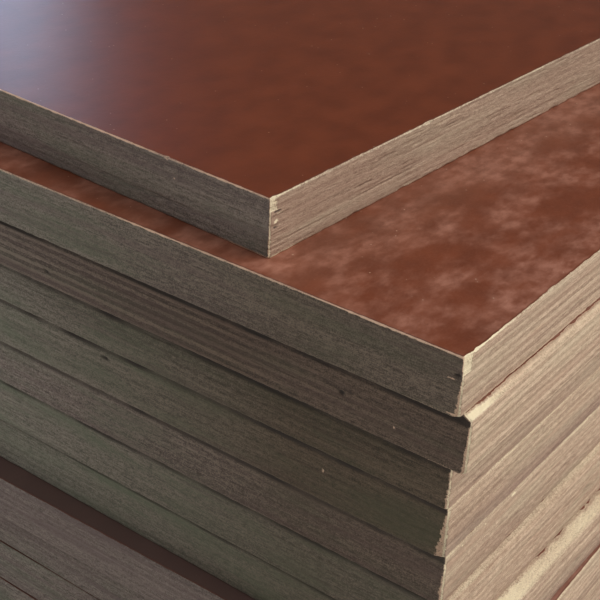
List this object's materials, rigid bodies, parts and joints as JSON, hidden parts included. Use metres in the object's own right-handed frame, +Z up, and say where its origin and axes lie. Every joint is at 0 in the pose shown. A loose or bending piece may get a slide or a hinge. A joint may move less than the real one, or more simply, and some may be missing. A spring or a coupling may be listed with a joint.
{
  "type": "stack of plywood sheets",
  "caption": "Flat stack of full-size film-faced birch plywood sheets, bare sawn edges showing their plies, the top sheet laid askew.",
  "frame": {"origin": "middle of the stack's footprint, on the floor", "axes": "+X along the length of the sheets, +Y across them, +Z up through the stack"},
  "size_m": [2.5122, 1.3898, 0.252],
  "materials": {
    "film_faced_plywood": "satin red-brown phenolic film on both faces, bare sawn ply edges"
  },
  "bodies": {
    "root": {"sheet_01": "film_faced_plywood", "sheet_02": "film_faced_plywood", "sheet_03": "film_faced_plywood", "sheet_04": "film_faced_plywood", "sheet_05": "film_faced_plywood", "sheet_06": "film_faced_plywood", "sheet_07": "film_faced_plywood", "sheet_08": "film_faced_plywood", "sheet_09": "film_faced_plywood", "sheet_10": "film_faced_plywood", "sheet_11": "film_faced_plywood", "sheet_12": "film_faced_plywood", "sheet_13": "film_faced_plywood", "sheet_14": "film_faced_plywood"}
  },
  "joints": []
}
